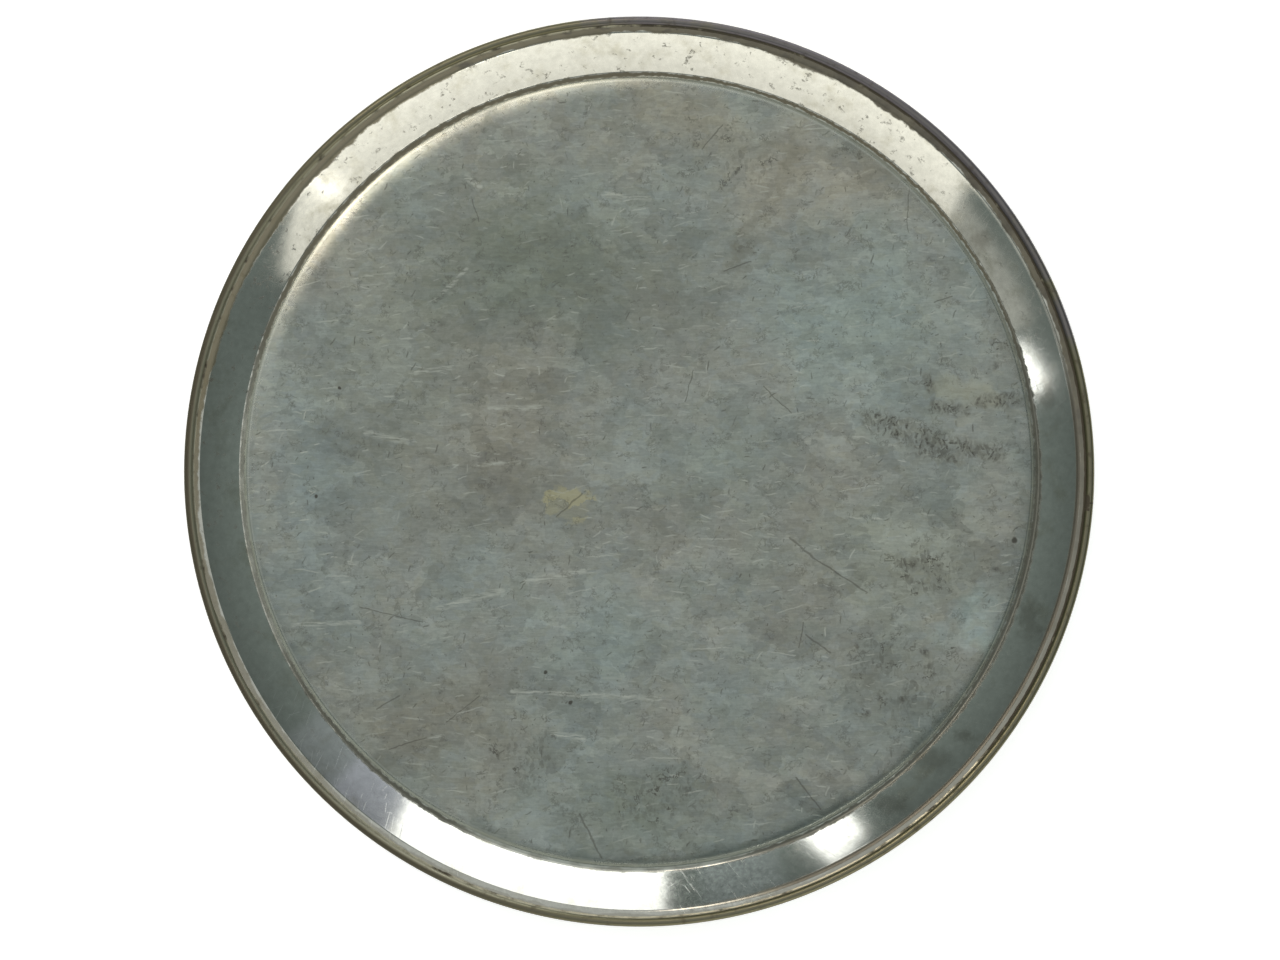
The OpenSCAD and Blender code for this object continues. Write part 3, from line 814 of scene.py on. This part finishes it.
# Soft solder: a dull warm grey, lumpy from the iron, and dark where dirt has settled in it, most of all at the
# back right.
solder, tree, place = new_material("Soft solder, dirty")
lumps = add(tree, "TexNoise", {"Vector": place, "Scale": 1 / 3, "Detail": 5.0, "Roughness": 0.6})[0]
grime = add(tree, "MapRange",
            {"Value": facing(tree, place, 25), "From Min": 0.3, "From Max": 0.6, "To Min": -0.08, "To Max": 0.2})[0]
grime = add(tree, "Math ADD", {0: grime, 1: lumps})[0]
grime = add(tree, "MapRange", {"Value": grime, "From Min": 0.38, "From Max": 0.62}, **soft)[0]
colour = add(tree, "Mix", {0: grime, 6: linear("#ABA793"), 7: linear("#4A4437")}, data_type="RGBA")[2]
metal = add(tree, "MapRange", {"Value": grime, "To Min": 0.95, "To Max": 0.35})[0]
rough = add(tree, "MapRange", {"Value": grime, "To Min": 0.34, "To Max": 0.7})[0]
metal_surface(tree, colour, metal, rough, lumps, 0.5, 0.05 * mm)

seam_solder = finished_mesh("seam_solder_run", solder_points, solder_faces, [solder])
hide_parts("seam_solder")
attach(seam_solder, "root")

# The joint solder: a plug of the same solder where the two ends of the wire meet, dressed flush with a file.
# A thin smear of it is left on the wire on both sides of the gap.
smear_half = 1.4 * mm / wire_mid_r
smear_t, sunk = 0.03 * mm, 0.015 * mm
joint_steps = 24
joint_sections = []
for i in range(joint_steps + 1):
    t = 2 * i / joint_steps - 1
    azimuth = joint_azimuth + t * smear_half
    thick = smear_t * (1 - t * t) * (0.7 + 0.3 * noise.noise(Vector((4 * t, 1.3, 0))))
    section = []
    for k in range(wire_sides + 1):
        a = wire_foot + (pi - 2 * wire_foot) * k / wire_sides
        inner = smooth(a, radians(70), radians(110))
        round_r = wire_round_r + thick * inner - sunk * (1 - inner)
        section.append(Vector((wire_mid_r + round_r * cos(a),
                               min(wire_centre_z + round_r * sin(a), ledge_z + wire_h))))
    joint_sections.append((azimuth, section))

joint_solder = finished_mesh("joint_solder_plug", *swept_ring(joint_sections), [solder])
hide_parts("joint_solder")
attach(joint_solder, "root")

# The studio: a plain white table, a dim grey room and soft boxes round the plate. The table's white comes
# from its own colour and, for the camera and for reflections, from a glow that leaves the shadow in it.
table_half, table_z = 6.0, -0.02 * mm
card_glow, room_light = 0.6, 0.185
table_mesh = bpy.data.meshes.new("table")
corners = ((-1, -1), (1, -1), (1, 1), (-1, 1))
table_mesh.from_pydata([(x * table_half, y * table_half, table_z) for x, y in corners], [], [(0, 1, 2, 3)])
table = bpy.data.objects.new("table", table_mesh)
bpy.context.scene.collection.objects.link(table)
white_card = bpy.data.materials.new("White card")
white_card.use_nodes = True
tree = white_card.node_tree
tree.nodes.clear()
rays = add(tree, "LightPath", {})
seen = total(tree, [rays["Is Camera Ray"], rays["Is Glossy Ray"], rays["Is Transmission Ray"]])
glow = add(tree, "Math MULTIPLY", {0: seen, 1: card_glow})[0]
card = add(tree, "BsdfDiffuse", {"Color": linear("#EFF1F2")})[0]
light = add(tree, "Emission", {"Color": linear("#FFFFFF"), "Strength": glow})[0]
surface = add(tree, "AddShader", {0: card, 1: light})[0]
add(tree, "OutputMaterial", {"Surface": surface})
table_mesh.materials.append(white_card)

world = bpy.data.worlds.new("Dim grey room")
bpy.context.scene.world = world
world.use_nodes = True
world.node_tree.nodes.clear()
room = add(world.node_tree, "Background", {"Color": linear("#ECFFFA"), "Strength": room_light})[0]
add(world.node_tree, "OutputWorld", {"Surface": room})


def soft_box(name, azimuth, elevation, distance, width, height, colour, radiance, roll=0.0):
    """A flat soft box that faces the plate. Azimuth runs from +X to +Y, and radiance 1 mirrors as white."""
    lamp = bpy.data.lights.new(name, "AREA")
    lamp.shape = "RECTANGLE"
    lamp.size, lamp.size_y = width, height
    lamp.color = linear(colour)[:3]
    lamp.energy = radiance * pi * width * height
    box = bpy.data.objects.new(name, lamp)
    az, el = radians(azimuth), radians(elevation)
    towards_lamp = Vector((cos(el) * cos(az), cos(el) * sin(az), sin(el)))
    box.location = distance * towards_lamp
    box.rotation_euler = towards_lamp.to_track_quat("Z", "Y").to_euler()
    box.rotation_euler.rotate_axis("Z", radians(roll))
    box.visible_camera = False
    bpy.context.scene.collection.objects.link(box)


# The wall mirrors what stands opposite at 14 to 20 degrees up, and the floor's falling edge mirrors the key boxes.
soft_box("key_box", 135, 47, 1.2, 0.3, 0.55, "#FFEFDC", 4.8)
soft_box("back_key_box", 102, 47, 1.2, 0.22, 0.5, "#FFEFDC", 2.9)
soft_box("front_key_box", -60, 30, 1.2, 0.5, 0.16, "#FFFCF0", 2.4)
soft_box("top_box", 115, 77, 1.6, 3.0, 3.0, "#FFFDFB", 0.51)
soft_box("cream_box", -90.1, 19, 1.0, 2.112, 0.56, "#FFFAF1", 1.1)
soft_box("cream_end_box", -36.6, 20.2, 1.0, 0.25, 0.11, "#FFFAF1", 1.05, 27.5)
soft_box("cream_tail_box", -149.5, 24, 1.0, 0.33, 0.2, "#FFFAF1", 0.34)
soft_box("white_box", 74.4, 17, 1.2, 0.78, 0.36, "#FFFFFF", 2.0)
soft_box("slim_box", 117.7, 20.8, 1.2, 0.125, 0.19, "#FFFFFF", 2.2, 18.0)
soft_box("lilac_box", 51, 17, 1.2, 0.2, 0.36, "#E2E0FF", 0.26)
soft_box("lilac_end_box", 42, 17, 1.2, 0.2, 0.36, "#E6E6FF", 0.1)
soft_box("faint_box", 104, 17, 1.2, 0.22, 0.36, "#E6F0FF", 0.1)
soft_box("side_box", 194.6, 21.2, 1.2, 0.14, 0.09, "#FFFFFF", 2.1, 20.0)

# The camera looks straight down from 0.6 m above the rim. The lens gives the rim its radius in the picture.
camera_x, camera_y, camera_height = 0.14 * mm, -1.48 * mm, 600 * mm
rim_px, picture_px, sensor_mm = 455.2, 1280, 36
camera = bpy.data.objects.new("camera", bpy.data.cameras.new("camera"))
camera.data.sensor_width = sensor_mm
camera.data.lens = rim_px * camera_height / plate_r * sensor_mm / picture_px
camera.data.clip_start = 0.01
camera.location = (camera_x, camera_y, ledge_z + camera_height)
bpy.context.scene.collection.objects.link(camera)
bpy.context.scene.camera = camera
bpy.context.scene.view_settings.view_transform = "Standard"
